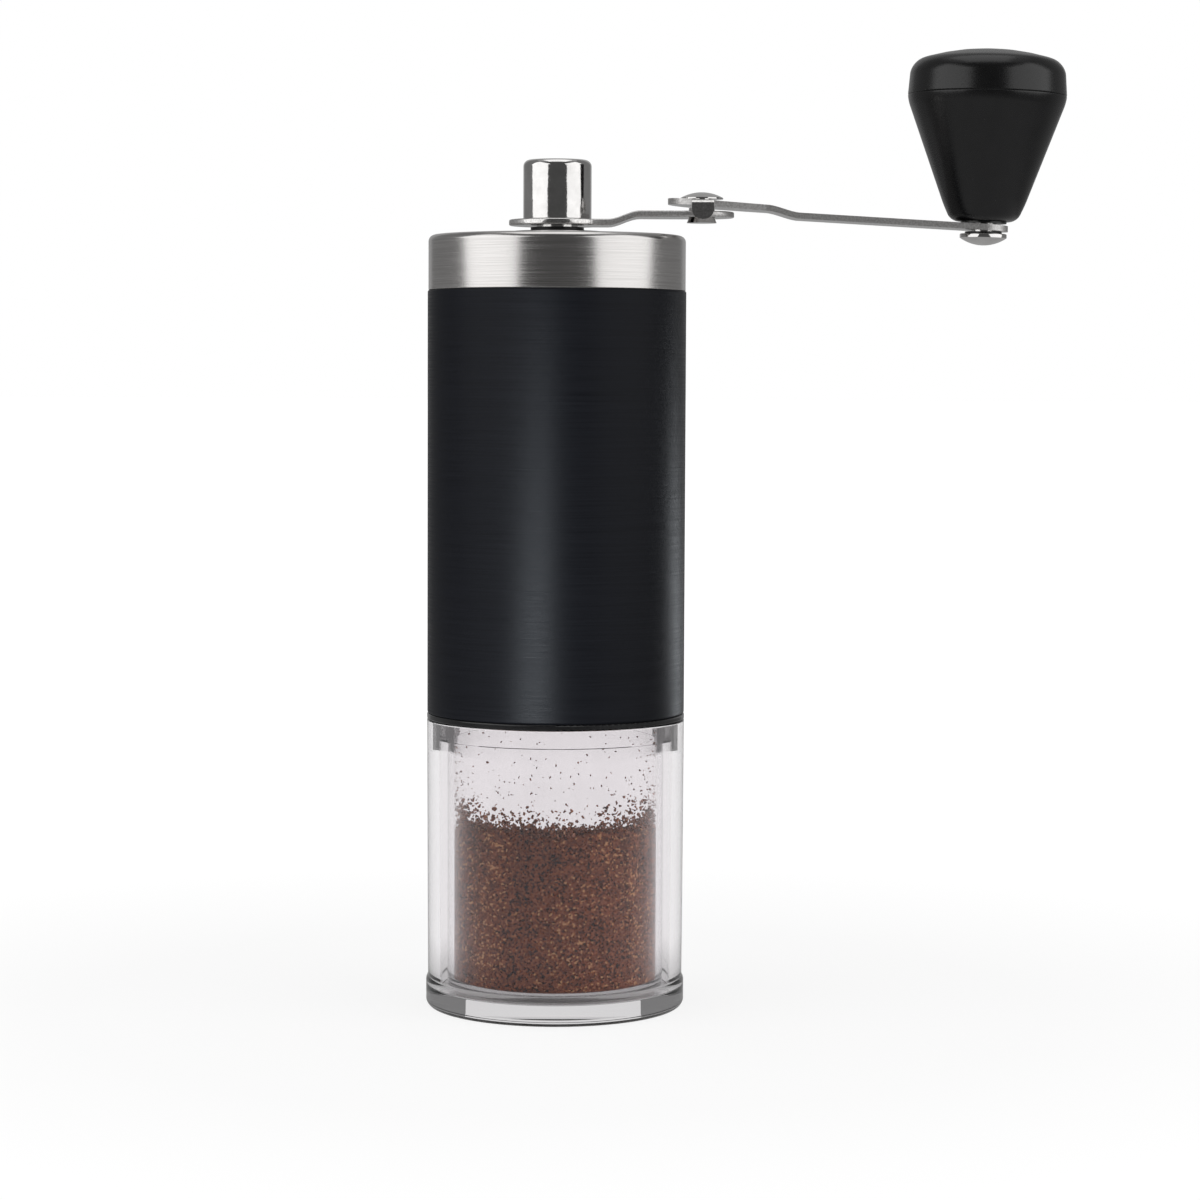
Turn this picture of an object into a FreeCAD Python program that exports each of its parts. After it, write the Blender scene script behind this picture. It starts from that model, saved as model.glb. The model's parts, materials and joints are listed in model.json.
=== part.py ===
import FreeCAD, Part
import math
import os

# A hand crank coffee grinder, in millimetres, +Z up.
# The origin is the centre of the cup's underside, and the crank points along +X.

Vector = FreeCAD.Vector
up = Vector(0, 0, 1)

# Fits and clearances
press_gap = 0.02
running_gap = 0.05
slide_gap = 0.3
stop_gap = 0.1

# Housing tube and the lip under it
tube_radius = 26.0
tube_wall = 1.2
tube_length = 85.1
tube_edge = 0.4
lip_overhang = 0.05
lip_height = 1.2
lip_edge = 0.3

# Double-walled cup
cup_height = 58.6
cup_floor = 4.0
shell_overhang = 0.05
shell_draft = 0.25
shell_wall = 2.4
foot_overhang = 0.15
foot_height = 6.4
foot_shoulder = 0.7
foot_rounding = 1.6
air_gap = 1.5
inner_cup_wall = 1.2
inner_cup_rounding = 1.6
flange_height = 3.8
neck_height = 7.4
neck_wall = 2.2
seal_height = 1.6
seal_depth = 0.6

# Burrs and their carrier
boss_wall = 1.15
boss_recess = 6.2
retainer_height = 2.0
retainer_recess = 0.4
burr_height = 10.5
burr_rim = 2.4
burr_bore_taper = 1.7
burr_gap = 0.5
burr_overhang = 1.2
burr_crown = 1.0
crown_wall = 2.0
outer_flutes = 24
outer_flute_size = 1.2
inner_flutes = 12
inner_flute_size = 2.0
flute_twist = 18.0
seat_thickness = 1.5
seat_overlap = 2.0
funnel_wall = 1.6
spider_legs = 3
leg_width = 3.0
guide_height = 6.0
guide_wall = 1.9

# Drive shaft and what it carries
shaft_radius = 3.0
key_flats = 5.2
thread_radius = 2.5
thread_length = 8.0
hex_flats = 5.0
hex_length = 17.0
shaft_end_play = 0.5
core_wall = 2.0
core_flange_height = 1.2
core_flange_reach = 3.0
nut_radius = 9.0
nut_height = 5.8
nut_notches = 12
notch_radius = 1.0
bush_wall = 1.55
bush_flange_reach = 1.2
bush_flange_height = 0.8
washer_height = 0.6
washer_reach = 2.4
clip_height = 0.8
clip_depth = 0.4
clip_reach = 2.0
clip_gap = 3.0
spring_length = 8.9
spring_wire_radius = 0.45
spring_turns = 4.5
upper_guide_drop = 14.0

# Lid
lid_inset = 0.15
lid_height = 11.0
lid_sheet = 0.8
lid_edge = 1.3
raised_disc_radius = 9.75
raised_disc_height = 0.8
raised_disc_edge = 0.3
liner_disc = 3.0
liner_plug_depth = 4.0
liner_plug_wall = 2.2
liner_boss_radius = 8.0
liner_boss_height = 3.1
lid_bush_wall = 1.1
lid_bush_rise = 0.85
lid_bush_flange_reach = 1.7

# Crank hub and inner arm
hub_radius = 6.85
hub_height = 11.95
hub_edge = 1.3
stem_radius = 4.2
stem_tail = 1.2
crank_clip_depth = 0.6
arm_thickness = 1.2
hub_plate_radius = 9.7
inner_bend_start = 10.8
inner_bend_end = 16.0
inner_bend_rise = 1.7
inner_arm_half_width = 6.5

# Fold hinge
fold_x = 29.0
fold_space = 1.0
fold_eye_radius = 6.8
rivet_radius = 2.0
rivet_head_radius = 4.3
rivet_head_height = 1.4
rivet_tail_radius = 3.0
rivet_tail_taper = 0.4
rivet_tail_height = 1.0
spacer_radius = 2.6
tab_half_width = 2.2
tab_thickness = 1.4
tab_reach = 0.5

# Outer arm
eye_slope = 0.07
jog_start = 13.0
jog_end = 19.5
jog_drop = 1.57
outer_slope = 0.0556
outer_half_width = 5.0
pin_reach = 56.6
tip_radius = 4.9

# Knob and its pin
knob_lean = 1.0
pin_radius = 2.5
pin_head_radius = 4.7
pin_head_rim = 0.8
pin_head_dome = 1.5
pin_washer_radius = 3.7
pin_washer_height = 0.4
pin_seat_gap = 0.18
pin_tail = 1.0
knob_gap = 0.65
knob_foot_radius = 6.6
knob_foot_rounding = 2.4
knob_waist_radius = 8.15
knob_waist_height = 3.35
knob_shoulder_radius = 15.7
knob_shoulder_height = 23.85
knob_shoulder_rounding = 5.0
knob_seam_radius = 15.85
knob_seam_height = 25.85
knob_seam_edge = 0.25
knob_floor_height = 18.0
knob_skin = 4.0
cap_rim_radius = 15.35
cap_rim_height = 5.8
cap_dome = 2.7
cap_rounding = 2.0
spigot_wall = 1.5
spigot_depth = 4.0

# Radii that follow from these, from the outside inwards
tube_bore = tube_radius - tube_wall
shell_top_radius = tube_radius + shell_overhang
shell_low_radius = shell_top_radius - shell_draft
inner_cup_radius = shell_low_radius - shell_wall - air_gap
cup_bore = inner_cup_radius - inner_cup_wall
neck_radius = cup_bore + neck_wall
socket_radius = neck_radius + slide_gap
carrier_radius = tube_bore - press_gap
boss_radius = cup_bore - slide_gap
burr_seat_radius = boss_radius - boss_wall
burr_radius = burr_seat_radius - press_gap
burr_bore_low = burr_radius - burr_rim
burr_bore_high = burr_bore_low - burr_bore_taper
core_radius = shaft_radius + core_wall
crown_radius = core_radius + crown_wall
bush_bore = shaft_radius + running_gap
bush_radius = bush_bore + bush_wall
bush_flange_radius = bush_radius + bush_flange_reach
guide_bore = bush_radius + press_gap
guide_radius = guide_bore + guide_wall
lid_radius = tube_radius - lid_inset
lid_bush_bore = stem_radius + running_gap
lid_bush_radius = lid_bush_bore + lid_bush_wall

# Heights that follow, from the floor upwards
neck_top = cup_height + neck_height
seal_low = cup_height + (neck_height - seal_height) / 2
lip_top = cup_height + lip_height
tube_top = lip_top + tube_length
boss_low = cup_height + boss_recess
burr_low = boss_low + retainer_recess + retainer_height
burr_high = burr_low + burr_height
seat_top = burr_high + seat_thickness
inner_burr_low = burr_low - burr_overhang
inner_burr_high = burr_high + burr_crown
core_low = inner_burr_low - core_flange_height
nut_low = core_low - nut_height
shaft_low = core_low - thread_length
key_low = core_low + washer_height
spring_low = inner_burr_high
spring_high = spring_low + spring_length
lower_guide_low = spring_high + washer_height + bush_flange_height
lower_guide_high = lower_guide_low + guide_height
upper_guide_high = tube_top - upper_guide_drop
upper_guide_low = upper_guide_high - guide_height
upper_bush_top = upper_guide_high + bush_flange_height
shaft_clip_low = upper_bush_top + washer_height
lid_top = tube_top + lid_height
disc_top = lid_top + raised_disc_height
liner_top = lid_top - lid_sheet
liner_disc_low = liner_top - liner_disc
liner_boss_low = liner_disc_low - liner_boss_height
lid_bush_low = liner_boss_low - bush_flange_height
lid_bush_top = disc_top + lid_bush_rise
crank_clip_high = lid_bush_low - slide_gap
stem_low = crank_clip_high - clip_height - stem_tail
hub_plate_low = lid_bush_top + slide_gap
hub_low = hub_plate_low + arm_thickness
hub_top = hub_low + hub_height
shaft_top = stem_low + hex_length
inner_arm_low = hub_plate_low + inner_bend_rise
inner_arm_top = inner_arm_low + arm_thickness
fold_low = inner_arm_top + fold_space
pin_x = fold_x + pin_reach


def cylinder(radius, low, high, x=0.0):
    return Part.makeCylinder(radius, high - low, Vector(x, 0, low))


def ring(bore, radius, low, high, x=0.0):
    return cylinder(radius, low, high, x).cut(cylinder(bore, low, high, x))


def block(x_low, x_high, y_low, y_high, low, high):
    return Part.makeBox(x_high - x_low, y_high - y_low, high - low, Vector(x_low, y_low, low))


def turned(points):
    corners = [Vector(radius, 0, height) for radius, height in points]
    face = Part.Face(Part.makePolygon(corners + corners[:1]))
    return face.revolve(Vector(0, 0, 0), up, 360)


def domed(radius, low, rise):
    # A shallow round dome on a flat face at the height low. A negative rise points down.
    sphere = (radius * radius + rise * rise) / (2 * abs(rise))
    half_angle = math.asin(radius / sphere) / 2
    drop = sphere * (1 - math.cos(half_angle))
    middle = Vector(sphere * math.sin(half_angle), 0, low + rise - math.copysign(drop, rise))
    foot = Vector(0, 0, low)
    edge = Vector(radius, 0, low)
    crown = Vector(0, 0, low + rise)
    arc = Part.Arc(edge, middle, crown).toShape()
    outline = Part.Wire([Part.makeLine(foot, edge), arc, Part.makeLine(crown, foot)])
    return Part.Face(outline).revolve(Vector(0, 0, 0), up, 360)


def rounded(shape, size, *circles):
    # Rounds the circular edges about the main axis that are named by radius and height.
    edges = []
    for edge in shape.Edges:
        if edge.Degenerated or not isinstance(edge.Curve, Part.Circle):
            continue
        for radius, height in circles:
            if abs(edge.Curve.Radius - radius) < 0.001 and abs(edge.Curve.Center.z - height) < 0.001:
                edges.append(edge)
    return shape.makeFillet(size, edges)


def hexagon(flats, low, high):
    reach = flats / math.sqrt(3)
    corners = []
    for corner in range(7):
        angle = math.radians(60 * corner)
        corners.append(Vector(reach * math.cos(angle), reach * math.sin(angle), low))
    return Part.Face(Part.makePolygon(corners)).extrude(Vector(0, 0, high - low))


def keyed(radius, flats, low, high):
    half = flats / 2
    return cylinder(radius, low, high).common(block(-radius, radius, -half, half, low, high))


def around(shape, count):
    copies = []
    for step in range(count):
        copy = shape.copy()
        copy.rotate(Vector(0, 0, 0), up, 360.0 * step / count)
        copies.append(copy)
    return copies


def spring_clip(bore, radius, low):
    high = low + clip_height
    return ring(bore, radius, low, high).cut(block(0, radius, -clip_gap / 2, clip_gap / 2, low, high))


# Cup


def outer_cup():
    foot_radius = shell_top_radius + foot_overhang
    shape = turned([
        (0, 0),
        (foot_radius, 0),
        (foot_radius, foot_height - foot_shoulder),
        (shell_low_radius, foot_height),
        (shell_top_radius, cup_height),
        (shell_top_radius - shell_wall, cup_height),
        (shell_low_radius - shell_wall, cup_floor),
        (0, cup_floor),
    ])
    return rounded(shape, foot_rounding, (foot_radius, 0))


def inner_cup():
    flange_radius = shell_top_radius - shell_wall - running_gap
    bottom = cup_floor + inner_cup_wall
    shape = turned([
        (0, cup_floor),
        (inner_cup_radius, cup_floor),
        (inner_cup_radius, cup_height - flange_height),
        (flange_radius, cup_height - flange_height),
        (flange_radius, cup_height),
        (neck_radius, cup_height),
        (neck_radius, neck_top),
        (cup_bore, neck_top),
        (cup_bore, bottom),
        (0, bottom),
    ])
    shape = rounded(shape, inner_cup_rounding, (inner_cup_radius, cup_floor), (cup_bore, bottom))
    groove = ring(neck_radius - seal_depth, neck_radius + seal_depth, seal_low, seal_low + seal_height)
    return shape.cut(groove)


def cup_seal():
    return ring(neck_radius - seal_depth, socket_radius - stop_gap, seal_low, seal_low + seal_height)


# Housing


def body_tube():
    shape = ring(tube_bore, tube_radius, lip_top, tube_top)
    return rounded(shape, tube_edge, (tube_radius, lip_top), (tube_radius, tube_top))


def guide_legs(low, high, reach):
    leg = block(guide_radius - guide_wall / 2, reach, -leg_width / 2, leg_width / 2, low, high)
    return around(leg, spider_legs)


def burr_carrier():
    lip_radius = tube_radius + lip_overhang
    mouth_radius = burr_seat_radius - seat_overlap
    groove_top = neck_top + slide_gap
    shape = turned([
        (socket_radius, cup_height),
        (lip_radius, cup_height),
        (lip_radius, lip_top),
        (carrier_radius, lip_top),
        (carrier_radius, lower_guide_high),
        (carrier_radius - funnel_wall, lower_guide_high),
        (mouth_radius, seat_top),
        (mouth_radius, burr_high),
        (burr_seat_radius, burr_high),
        (burr_seat_radius, boss_low),
        (boss_radius, boss_low),
        (boss_radius, groove_top),
        (socket_radius, groove_top),
    ])
    shape = rounded(shape, lip_edge, (lip_radius, cup_height), (lip_radius, lip_top))
    guide = ring(guide_bore, guide_radius, lower_guide_low, lower_guide_high)
    legs = guide_legs(lower_guide_low, lower_guide_high, carrier_radius - funnel_wall / 2)
    return shape.fuse([guide] + legs).removeSplitter()


def flute(size, radius, low, high, lean):
    # A square bar on edge, which leans across the burr's face.
    length = 2 * (high - low)
    bar = Part.makeBox(size, size, length, Vector(-size / 2, -size / 2, -length / 2))
    bar.rotate(Vector(0, 0, 0), up, 45)
    bar.rotate(Vector(0, 0, 0), Vector(0, 1, 0), lean)
    bar.rotate(Vector(0, 0, 0), Vector(1, 0, 0), flute_twist)
    bar.translate(Vector(radius, 0, (low + high) / 2))
    return bar


def outer_burr():
    shape = turned([
        (burr_bore_low, burr_low),
        (burr_radius, burr_low),
        (burr_radius, burr_high),
        (burr_bore_high, burr_high),
    ])
    lean = -math.degrees(math.atan2(burr_bore_taper, burr_height))
    middle = (burr_bore_low + burr_bore_high) / 2
    bar = flute(outer_flute_size, middle, burr_low, burr_high, lean)
    return shape.cut(around(bar, outer_flutes))


def burr_retainer():
    bore = inner_burr_radius(inner_burr_low) + slide_gap
    return ring(bore, burr_seat_radius - press_gap, burr_low - retainer_height, burr_low)


def inner_burr_radius(height):
    edge_radius = burr_bore_low - burr_gap
    slope = (edge_radius - crown_radius) / (inner_burr_high - burr_low)
    return edge_radius - slope * (height - burr_low)


def inner_burr():
    low_radius = inner_burr_radius(inner_burr_low)
    shape = turned([
        (core_radius + press_gap, inner_burr_low),
        (low_radius, inner_burr_low),
        (crown_radius, inner_burr_high),
        (core_radius + press_gap, inner_burr_high),
    ])
    rise = inner_burr_high - inner_burr_low
    lean = -math.degrees(math.atan2(low_radius - crown_radius, rise))
    middle = (low_radius + crown_radius) / 2
    bar = flute(inner_flute_size, middle, inner_burr_low, inner_burr_high, lean)
    return shape.cut(around(bar, inner_flutes))


def burr_core():
    stem = cylinder(core_radius, core_low, inner_burr_high)
    flange = cylinder(core_radius + core_flange_reach, core_low, inner_burr_low)
    keyway = keyed(shaft_radius + running_gap, key_flats + 2 * running_gap, core_low, inner_burr_high)
    return stem.fuse(flange).cut(keyway).removeSplitter()


def adjusting_nut():
    shape = ring(thread_radius + running_gap, nut_radius, nut_low, core_low)
    notch = cylinder(notch_radius, nut_low, core_low, nut_radius)
    return shape.cut(around(notch, nut_notches))


def drive_shaft():
    thread = cylinder(thread_radius, shaft_low, key_low)
    key = keyed(shaft_radius, key_flats, key_low, spring_high)
    plain = cylinder(shaft_radius, spring_high, stem_low)
    drive = hexagon(hex_flats, stem_low, shaft_top)
    shape = thread.fuse([key, plain, drive])
    groove_radius = shaft_radius - clip_depth
    groove = ring(groove_radius, shaft_radius, shaft_clip_low, shaft_clip_low + clip_height)
    return shape.cut(groove)


def shaft_clip():
    groove_radius = shaft_radius - clip_depth
    return spring_clip(groove_radius + press_gap, shaft_radius + clip_reach, shaft_clip_low)


def shaft_washer():
    return ring(bush_bore, shaft_radius + washer_reach, upper_bush_top, shaft_clip_low)


def spring_washer():
    return ring(bush_bore, shaft_radius + washer_reach, spring_high, spring_high + washer_height)


def lower_bush():
    sleeve = ring(bush_bore, bush_radius, lower_guide_low, lower_guide_high)
    flange = ring(bush_bore, bush_flange_radius, spring_high + washer_height, lower_guide_low)
    return sleeve.fuse(flange).removeSplitter()


def upper_bush():
    sleeve = ring(bush_bore, bush_radius, upper_guide_low, upper_guide_high)
    flange = ring(bush_bore, bush_flange_radius, upper_guide_high, upper_bush_top)
    return sleeve.fuse(flange).removeSplitter()


def upper_spider():
    rim = ring(carrier_radius - funnel_wall, carrier_radius, upper_guide_low, upper_guide_high)
    guide = ring(guide_bore, guide_radius, upper_guide_low, upper_guide_high)
    legs = guide_legs(upper_guide_low, upper_guide_high, carrier_radius - funnel_wall / 2)
    return rim.fuse([guide] + legs).removeSplitter()


def biarc(start, start_way, end, end_way):
    # Two arcs from start to end, with these directions at the ends and one direction between.
    across = end - start
    both = start_way + end_way
    bend = 2 * (1 - start_way.dot(end_way))
    along = across.dot(both)
    reach = (math.sqrt(along * along + bend * across.dot(across)) - along) / bend
    joint = (start + end + (start_way - end_way) * reach) * 0.5
    return [tangent_arc(start, start_way, joint), tangent_arc(end, end_way * -1, joint)]


def tangent_arc(start, way, end):
    chord = end - start
    line = Vector(chord).normalize()
    side = way - line * way.dot(line)
    half_turn = math.acos(max(-1.0, min(1.0, way.dot(line)))) / 2
    middle = (start + end) * 0.5 + side.normalize() * (chord.Length / 2 * math.tan(half_turn))
    return Part.Arc(start, middle, end).toShape()


def burr_spring():
    coil_radius = shaft_radius + washer_reach - 2 * spring_wire_radius
    low = spring_low + spring_wire_radius
    rise = (spring_length - 2 * spring_wire_radius) / (2 * math.pi * spring_turns)

    def place(angle):
        return Vector(coil_radius * math.cos(angle), coil_radius * math.sin(angle), low + rise * angle)

    def heading(angle):
        return Vector(-coil_radius * math.sin(angle), coil_radius * math.cos(angle), rise).normalize()

    edges = []
    quarters = round(4 * spring_turns)
    for quarter in range(quarters):
        start = math.pi / 2 * quarter
        end = start + math.pi / 2
        edges += biarc(place(start), heading(start), place(end), heading(end))
    path = Part.Wire(Part.__sortEdges__(edges))
    section = Part.Wire(Part.makeCircle(spring_wire_radius, place(0), heading(0)))
    points = path.discretize(24 * quarters)
    turn = 96
    gap = min(
        (first - second).Length
        for index, first in enumerate(points)
        for second in points[index + turn // 2:]
    )
    print("burr_spring gap to itself, mm:", round(gap - 2 * spring_wire_radius, 3))
    return path.makePipeShell([section], True, False)


# Lid


def lid_shell():
    lid_bore = lid_bush_radius + press_gap
    inside = lid_radius - lid_sheet
    disc_inside = raised_disc_radius - lid_sheet
    shape = turned([
        (lid_bore, disc_top),
        (raised_disc_radius, disc_top),
        (raised_disc_radius, lid_top),
        (lid_radius, lid_top),
        (lid_radius, tube_top),
        (inside, tube_top),
        (inside, liner_top),
        (disc_inside, liner_top),
        (disc_inside, disc_top - lid_sheet),
        (lid_bore, disc_top - lid_sheet),
    ])
    shape = rounded(shape, lid_edge, (lid_radius, lid_top))
    return rounded(shape, raised_disc_edge, (raised_disc_radius, disc_top))


def lid_liner():
    disc_radius = lid_radius - lid_sheet - press_gap
    plug_radius = tube_bore - slide_gap
    bore = lid_bush_radius + press_gap
    return turned([
        (bore, disc_top - lid_sheet),
        (raised_disc_radius - lid_sheet - press_gap, disc_top - lid_sheet),
        (raised_disc_radius - lid_sheet - press_gap, liner_top),
        (disc_radius, liner_top),
        (disc_radius, liner_disc_low),
        (plug_radius, liner_disc_low),
        (plug_radius, tube_top - liner_plug_depth),
        (plug_radius - liner_plug_wall, tube_top - liner_plug_depth),
        (plug_radius - liner_plug_wall, liner_disc_low),
        (liner_boss_radius, liner_disc_low),
        (liner_boss_radius, liner_boss_low),
        (bore, liner_boss_low),
    ])


def lid_bush():
    sleeve = ring(lid_bush_bore, lid_bush_radius, liner_boss_low, lid_bush_top)
    flange = ring(lid_bush_bore, lid_bush_radius + lid_bush_flange_reach, lid_bush_low, liner_boss_low)
    return sleeve.fuse(flange).removeSplitter()


# Crank


def crank_hub():
    head = rounded(cylinder(hub_radius, hub_low, hub_top), hub_edge, (hub_radius, hub_top))
    shape = head.fuse(cylinder(stem_radius, stem_low, hub_low))
    socket = hexagon(hex_flats + 2 * stop_gap, stem_low, shaft_top + shaft_end_play)
    clip_low = crank_clip_high - clip_height
    groove = ring(stem_radius - crank_clip_depth, stem_radius, clip_low, crank_clip_high)
    return shape.cut([socket, groove])


def crank_clip():
    bore = stem_radius - crank_clip_depth + press_gap
    return spring_clip(bore, stem_radius + clip_reach, crank_clip_high - clip_height)


def strip(side_points, half_width):
    # A bent strip: its underside in the XZ plane, one thickness up, and wide enough for any outline.
    lower = [Vector(x, -half_width, z) for x, z in side_points]
    upper = [Vector(x, -half_width, z + arm_thickness) for x, z in reversed(side_points)]
    side = Part.Face(Part.makePolygon(lower + upper + lower[:1]))
    return side.extrude(Vector(0, 2 * half_width, 0))


def inner_arm():
    tip = fold_x + inner_arm_half_width
    shape = strip([
        (-hub_plate_radius, hub_plate_low),
        (inner_bend_start, hub_plate_low),
        (inner_bend_end, inner_arm_low),
        (tip, inner_arm_low),
    ], hub_plate_radius)
    low = hub_plate_low
    high = inner_arm_top
    outline = cylinder(hub_plate_radius, low, high).fuse([
        block(0, fold_x, -inner_arm_half_width, inner_arm_half_width, low, high),
        cylinder(inner_arm_half_width, low, high, fold_x),
    ])
    stem_hole = cylinder(stem_radius + press_gap, low, high)
    rivet_hole = cylinder(rivet_radius + press_gap, low, high, fold_x)
    return shape.common(outline).cut([stem_hole, rivet_hole]).removeSplitter()


def rivet_head_low():
    return fold_low + arm_thickness + eye_slope * rivet_head_radius + running_gap


def fold_rivet():
    head_low = rivet_head_low()
    shank = cylinder(rivet_radius, inner_arm_low, head_low)
    head = domed(rivet_head_radius, head_low, rivet_head_height)
    tail_low = inner_arm_low - rivet_tail_height
    tail = Part.makeCone(
        rivet_tail_radius, rivet_tail_radius - rivet_tail_taper, rivet_tail_height, Vector(0, 0, tail_low))
    shape = shank.fuse([head, tail])
    shape.translate(Vector(fold_x, 0, 0))
    return shape


def fold_spacer():
    high = fold_low - eye_slope * spacer_radius - running_gap
    return ring(rivet_radius + press_gap, spacer_radius, inner_arm_top, high, fold_x)


# Outer arm


def outer_arm_low(x):
    # Height of the arm's underside.
    reach = x - fold_x
    if reach <= jog_start:
        return fold_low - eye_slope * reach
    jog_low = fold_low - eye_slope * jog_start
    if reach <= jog_end:
        return jog_low - jog_drop * (reach - jog_start) / (jog_end - jog_start)
    return jog_low - jog_drop - outer_slope * (reach - jog_end)


def outer_arm():
    bends = [fold_x - fold_eye_radius, fold_x + jog_start, fold_x + jog_end, pin_x + tip_radius]
    tab_face = inner_arm_half_width + stop_gap
    tab_back = tab_face + tab_thickness
    shape = strip([(x, outer_arm_low(x)) for x in bends], tab_back)
    low = outer_arm_low(bends[-1])
    high = outer_arm_low(bends[0]) + arm_thickness
    jog_x = fold_x + jog_start
    corners = [
        Vector(fold_x, fold_eye_radius, low),
        Vector(jog_x, outer_half_width, low),
        Vector(pin_x, tip_radius, low),
        Vector(pin_x, -tip_radius, low),
        Vector(jog_x, -outer_half_width, low),
        Vector(fold_x, -fold_eye_radius, low),
    ]
    blade = Part.Face(Part.makePolygon(corners + corners[:1])).extrude(Vector(0, 0, high - low))
    left = fold_x - tab_half_width
    right = fold_x + tab_half_width
    outline = blade.fuse([
        cylinder(fold_eye_radius, low, high, fold_x),
        cylinder(tip_radius, low, high, pin_x),
        block(left, right, -tab_back, 0, low, high),
    ])
    shape = shape.common(outline)
    tab_round = inner_arm_low - tab_reach + tab_half_width
    tab = block(left, right, -tab_back, -tab_face, tab_round, fold_low + arm_thickness / 2)
    tab_end = Part.makeCylinder(
        tab_half_width, tab_thickness, Vector(fold_x, -tab_back, tab_round), Vector(0, 1, 0))
    shape = shape.fuse([tab, tab_end]).removeSplitter()
    rivet_hole = cylinder(rivet_radius + running_gap, low, high, fold_x)
    pin_hole = on_pin(cylinder(pin_radius + press_gap, -2 * arm_thickness, 2 * arm_thickness))
    return shape.cut([rivet_hole, pin_hole])


# Knob, made upright about its pin with the arm's underside at height 0


def on_pin(shape):
    shape.rotate(Vector(0, 0, 0), Vector(0, 1, 0), knob_lean)
    shape.translate(Vector(pin_x, 0, outer_arm_low(pin_x)))
    return shape


knob_low = arm_thickness + knob_gap
knob_floor = knob_low + knob_floor_height
knob_seam = knob_low + knob_seam_height
pin_clip_low = knob_floor + slide_gap
pin_groove_radius = pin_radius - clip_depth
head_top = -pin_seat_gap - pin_washer_height


def knob_pin():
    rim_low = head_top - pin_head_rim
    shank = cylinder(pin_radius, head_top, pin_clip_low + clip_height + pin_tail)
    rim = cylinder(pin_head_radius, rim_low, head_top)
    head = domed(pin_head_radius, rim_low, -pin_head_dome)
    groove = ring(pin_groove_radius, pin_radius, pin_clip_low, pin_clip_low + clip_height)
    return on_pin(shank.fuse([rim, head]).cut(groove).removeSplitter())


def knob_washer():
    return on_pin(ring(pin_radius + press_gap, pin_washer_radius, head_top, -pin_seat_gap))


def pin_clip():
    return on_pin(spring_clip(pin_groove_radius + press_gap, pin_radius + clip_reach, pin_clip_low))


def knob_hollow_radius():
    return knob_seam_radius - knob_skin


def knob_body():
    bore = pin_radius + running_gap
    hollow = knob_hollow_radius()
    floor_radius = pin_radius + clip_reach + 2 * slide_gap
    shape = turned([
        (bore, knob_low),
        (knob_foot_radius, knob_low),
        (knob_waist_radius, knob_low + knob_waist_height),
        (knob_shoulder_radius, knob_low + knob_shoulder_height),
        (knob_seam_radius, knob_seam),
        (hollow, knob_seam),
        (hollow, knob_seam - spigot_depth),
        (floor_radius, knob_floor),
        (bore, knob_floor),
    ])
    shape = rounded(shape, knob_foot_rounding, (knob_foot_radius, knob_low))
    shoulder = (knob_shoulder_radius, knob_low + knob_shoulder_height)
    shape = rounded(shape, knob_shoulder_rounding, shoulder)
    return on_pin(rounded(shape, knob_seam_edge, (knob_seam_radius, knob_seam)))


def knob_cap():
    rim_top = knob_seam + cap_rim_height
    rim = turned([(0, knob_seam), (knob_seam_radius, knob_seam), (cap_rim_radius, rim_top), (0, rim_top)])
    shape = rim.fuse(domed(cap_rim_radius, rim_top, cap_dome)).removeSplitter()
    shape = rounded(shape, cap_rounding, (cap_rim_radius, rim_top))
    shape = rounded(shape, knob_seam_edge, (knob_seam_radius, knob_seam))
    spigot_radius = knob_hollow_radius() - press_gap
    spigot = ring(spigot_radius - spigot_wall, spigot_radius, knob_seam - spigot_depth, knob_seam)
    return on_pin(shape.fuse(spigot))


pieces = [
    outer_cup, inner_cup, cup_seal,
    body_tube, burr_carrier, outer_burr, burr_retainer, lower_bush, upper_spider, upper_bush,
    inner_burr, burr_core, adjusting_nut,
    drive_shaft, shaft_clip, shaft_washer, spring_washer, burr_spring,
    lid_shell, lid_liner, lid_bush,
    crank_hub, crank_clip, inner_arm, fold_rivet, fold_spacer,
    outer_arm, knob_pin, knob_washer, pin_clip,
    knob_body, knob_cap,
]

os.makedirs("parts", exist_ok=True)
for piece in pieces:
    solid = piece()
    solid.exportStep("parts/" + piece.__name__ + ".step")
    print(piece.__name__, len(solid.Solids), solid.isValid(), round(solid.Volume, 2))
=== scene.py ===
import bpy
import bmesh
import json
import math
import random
from mathutils import Matrix, Vector


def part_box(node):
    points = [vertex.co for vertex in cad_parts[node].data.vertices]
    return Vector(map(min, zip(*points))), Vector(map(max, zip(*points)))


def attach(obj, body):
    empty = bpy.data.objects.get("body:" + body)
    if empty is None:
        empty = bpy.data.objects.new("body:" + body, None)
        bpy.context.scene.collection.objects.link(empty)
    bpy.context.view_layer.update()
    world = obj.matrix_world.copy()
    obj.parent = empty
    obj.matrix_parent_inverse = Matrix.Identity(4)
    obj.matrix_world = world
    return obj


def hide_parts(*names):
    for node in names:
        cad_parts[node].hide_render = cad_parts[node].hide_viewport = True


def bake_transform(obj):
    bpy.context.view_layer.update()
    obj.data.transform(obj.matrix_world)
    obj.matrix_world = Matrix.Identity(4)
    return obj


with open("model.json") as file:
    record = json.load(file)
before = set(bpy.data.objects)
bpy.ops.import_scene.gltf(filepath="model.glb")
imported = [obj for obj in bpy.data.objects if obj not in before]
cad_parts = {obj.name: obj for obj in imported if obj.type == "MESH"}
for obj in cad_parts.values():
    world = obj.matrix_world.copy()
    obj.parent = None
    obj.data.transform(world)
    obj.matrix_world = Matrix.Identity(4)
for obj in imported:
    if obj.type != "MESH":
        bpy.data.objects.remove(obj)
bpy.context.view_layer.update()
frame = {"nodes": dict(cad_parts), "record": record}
nodes = frame["nodes"]
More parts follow.
